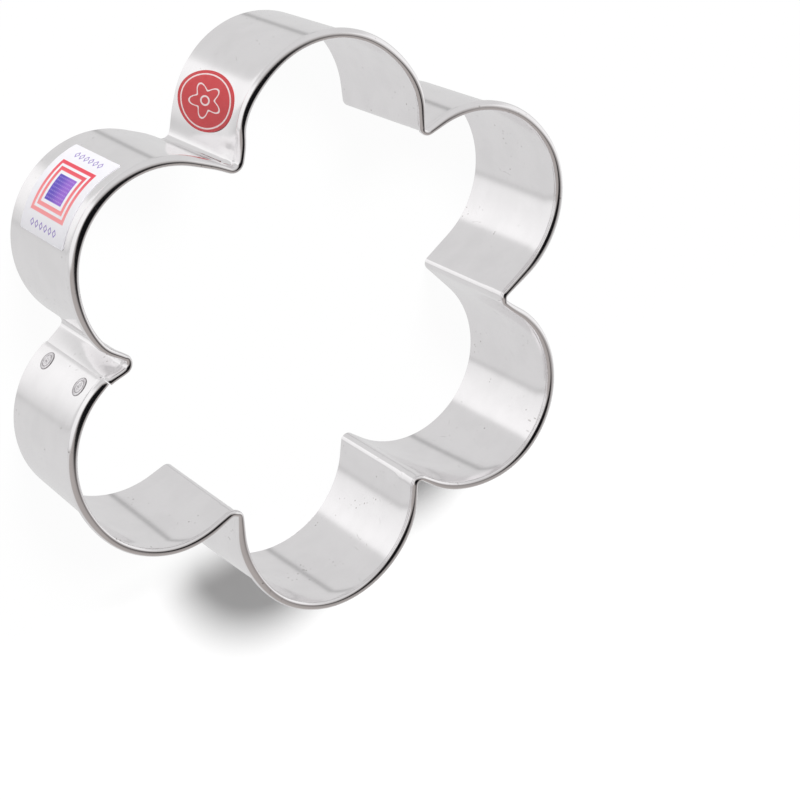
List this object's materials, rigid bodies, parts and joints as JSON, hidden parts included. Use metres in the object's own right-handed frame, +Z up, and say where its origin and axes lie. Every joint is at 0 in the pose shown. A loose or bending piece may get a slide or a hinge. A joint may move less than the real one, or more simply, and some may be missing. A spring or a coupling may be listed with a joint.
{
  "type": "cookie cutter",
  "caption": "Flower cookie cutter bent from tinplate strip: a plain cutting edge, a rolled safety hem, a spot-welded lap at a notch, and stickers on its outside.",
  "frame": {"origin": "middle of the flower's box, on the plane of the cutting edge", "axes": "+Z up from the cutting edge to the rolled hem; +Y along the longest span, through two opposite petals"},
  "size_m": [0.0945, 0.102, 0.0254],
  "materials": {
    "tinplate": "bright rolled tinplate, fine grain along the strip",
    "weld_metal": "dull melted tin and steel, dished",
    "white_paper_label": "smooth printed sticker",
    "red_vinyl_label": "smooth printed sticker"
  },
  "bodies": {
    "root": {"cutter_band": "tinplate", "spot_welds": "weld_metal", "square_label": "white_paper_label", "oval_label": "red_vinyl_label"}
  },
  "joints": []
}
